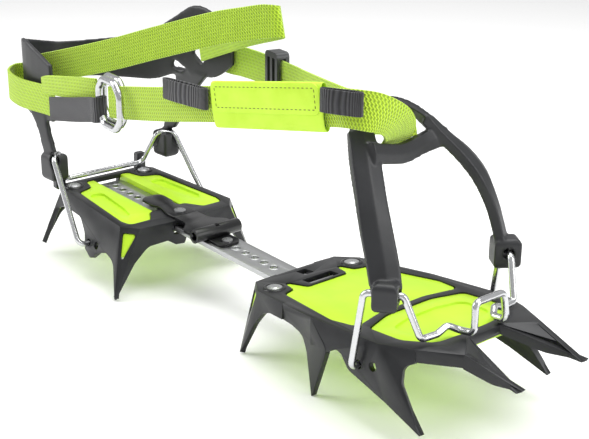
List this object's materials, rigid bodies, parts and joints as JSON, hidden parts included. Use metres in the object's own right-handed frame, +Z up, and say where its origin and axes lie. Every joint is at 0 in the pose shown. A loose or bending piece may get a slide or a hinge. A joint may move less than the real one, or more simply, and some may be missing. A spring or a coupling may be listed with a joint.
{
  "type": "crampon",
  "caption": "Strap-on crampon: spiked toe and heel frames on a punched link bar, plastic snow plates, wire bails with moulded cradles, and one webbing strap closed by rings.",
  "frame": {"origin": "centre of the bounding box at ground level, under the link bar", "axes": "+X towards the toe points, +Y towards the wearer's left, +Z up"},
  "size_m": [0.4136, 0.114, 0.1806],
  "materials": {
    "frame_steel": "satin dark grey coating",
    "bar_steel": "bright stamped strip",
    "wire_steel": "polished round wire",
    "rivet_steel": "bright domed heads",
    "lever_steel": "satin black coating",
    "lime_plastic": "smooth moulded",
    "cradle_plastic": "fine moulded grain",
    "lime_webbing": "woven ribbon",
    "black_webbing": "ribbed ribbon",
    "sleeve_fabric": "smooth coated cloth with stitching",
    "buckle_plastic": "satin moulded"
  },
  "bodies": {
    "front_plate": {"front_frame": "frame_steel", "front_antiball_plate": "lime_plastic", "front_plate_rivets": "rivet_steel"},
    "bar": {"link_bar": "bar_steel"},
    "heel_plate": {"heel_frame": "frame_steel", "heel_antiball_plate": "lime_plastic", "heel_plate_rivets": "rivet_steel", "lever_tongue": "lever_steel", "lever_rivet": "lever_steel", "heel_stop_tabs": "buckle_plastic"},
    "lever": {"length_lever": "lever_steel", "lever_lock_pin": "rivet_steel"},
    "front_bail": {"front_bail_wire": "wire_steel"},
    "front_cradle_group": {"front_cradle": "cradle_plastic", "near_strap": "lime_webbing", "far_strap": "lime_webbing"},
    "heel_bail": {"heel_bail_wire": "wire_steel"},
    "heel_cradle_group": {"heel_cradle": "cradle_plastic", "long_strap_tail": "lime_webbing", "tail_return_strap": "lime_webbing", "near_wing_strap": "lime_webbing", "ring_tab": "black_webbing", "ring_strap": "lime_webbing"},
    "outer_ring": {"ring_outer": "wire_steel"},
    "inner_ring": {"ring_inner": "wire_steel"},
    "sleeve": {"strap_sleeve": "sleeve_fabric", "keeper_loop_front": "black_webbing", "keeper_loop_rear": "black_webbing"},
    "triglide": {"triglide_buckle": "buckle_plastic"}
  },
  "joints": [
    {"name": "bar_flex", "type": "hinge", "parent": "front_plate", "child": "bar", "pos_m": [0.05049, 0.00391, 0.0395], "axis": [0, 1, 0], "range_deg": [0, 6]},
    {"name": "length_adjust", "type": "slide", "parent": "bar", "child": "heel_plate", "axis": [0.9986, 0, -0.0523], "range_m": [0, 0.0255], "deforming": ["near_strap", "far_strap", "long_strap_tail", "tail_return_strap"]},
    {"name": "lever_lift", "type": "hinge", "parent": "heel_plate", "child": "lever", "pos_m": [-0.07236, 0.00391, 0.0434], "axis": [0, 1, 0], "range_deg": [-6, 0], "stiffness_Nm_per_rad": 2},
    {"name": "toe_bail_swing", "type": "hinge", "parent": "front_plate", "child": "front_bail", "pos_m": [0.1273, 0.00391, 0.03225], "axis": [0, 1, 0], "range_deg": [-12, 0]},
    {"name": "toe_cradle_rock", "type": "hinge", "parent": "front_bail", "child": "front_cradle_group", "pos_m": [0.14048, 0.00391, 0.07225], "axis": [0, 1, 0], "range_deg": [-6, 5]},
    {"name": "heel_bail_swing", "type": "hinge", "parent": "heel_plate", "child": "heel_bail", "pos_m": [-0.11394, 0.00391, 0.02384], "axis": [0, 1, 0], "range_deg": [0, 6]},
    {"name": "heel_cradle_rock", "type": "hinge", "parent": "heel_bail", "child": "heel_cradle_group", "pos_m": [-0.15097, 0.00391, 0.0719], "axis": [0, 1, 0], "range_deg": [-6, 4]},
    {"name": "outer_ring_swivel", "type": "hinge", "parent": "heel_cradle_group", "child": "outer_ring", "pos_m": [-0.07689, -0.05082, 0.1241], "axis": [0, 0, 1], "range_deg": [-12, 0]},
    {"name": "inner_ring_swivel", "type": "hinge", "parent": "heel_cradle_group", "child": "inner_ring", "pos_m": [-0.08589, -0.04222, 0.1231], "axis": [0, 0, 1], "range_deg": [0, 12]},
    {"name": "sleeve_slide", "type": "slide", "parent": "front_cradle_group", "child": "sleeve", "axis": [0.9754, 0.1699, 0.1407], "range_m": [-0.004, 0.001]},
    {"name": "triglide_slide", "type": "slide", "parent": "front_cradle_group", "child": "triglide", "axis": [0.9762, -0.2169, 0], "range_m": [-0.008, 0.008]}
  ]
}
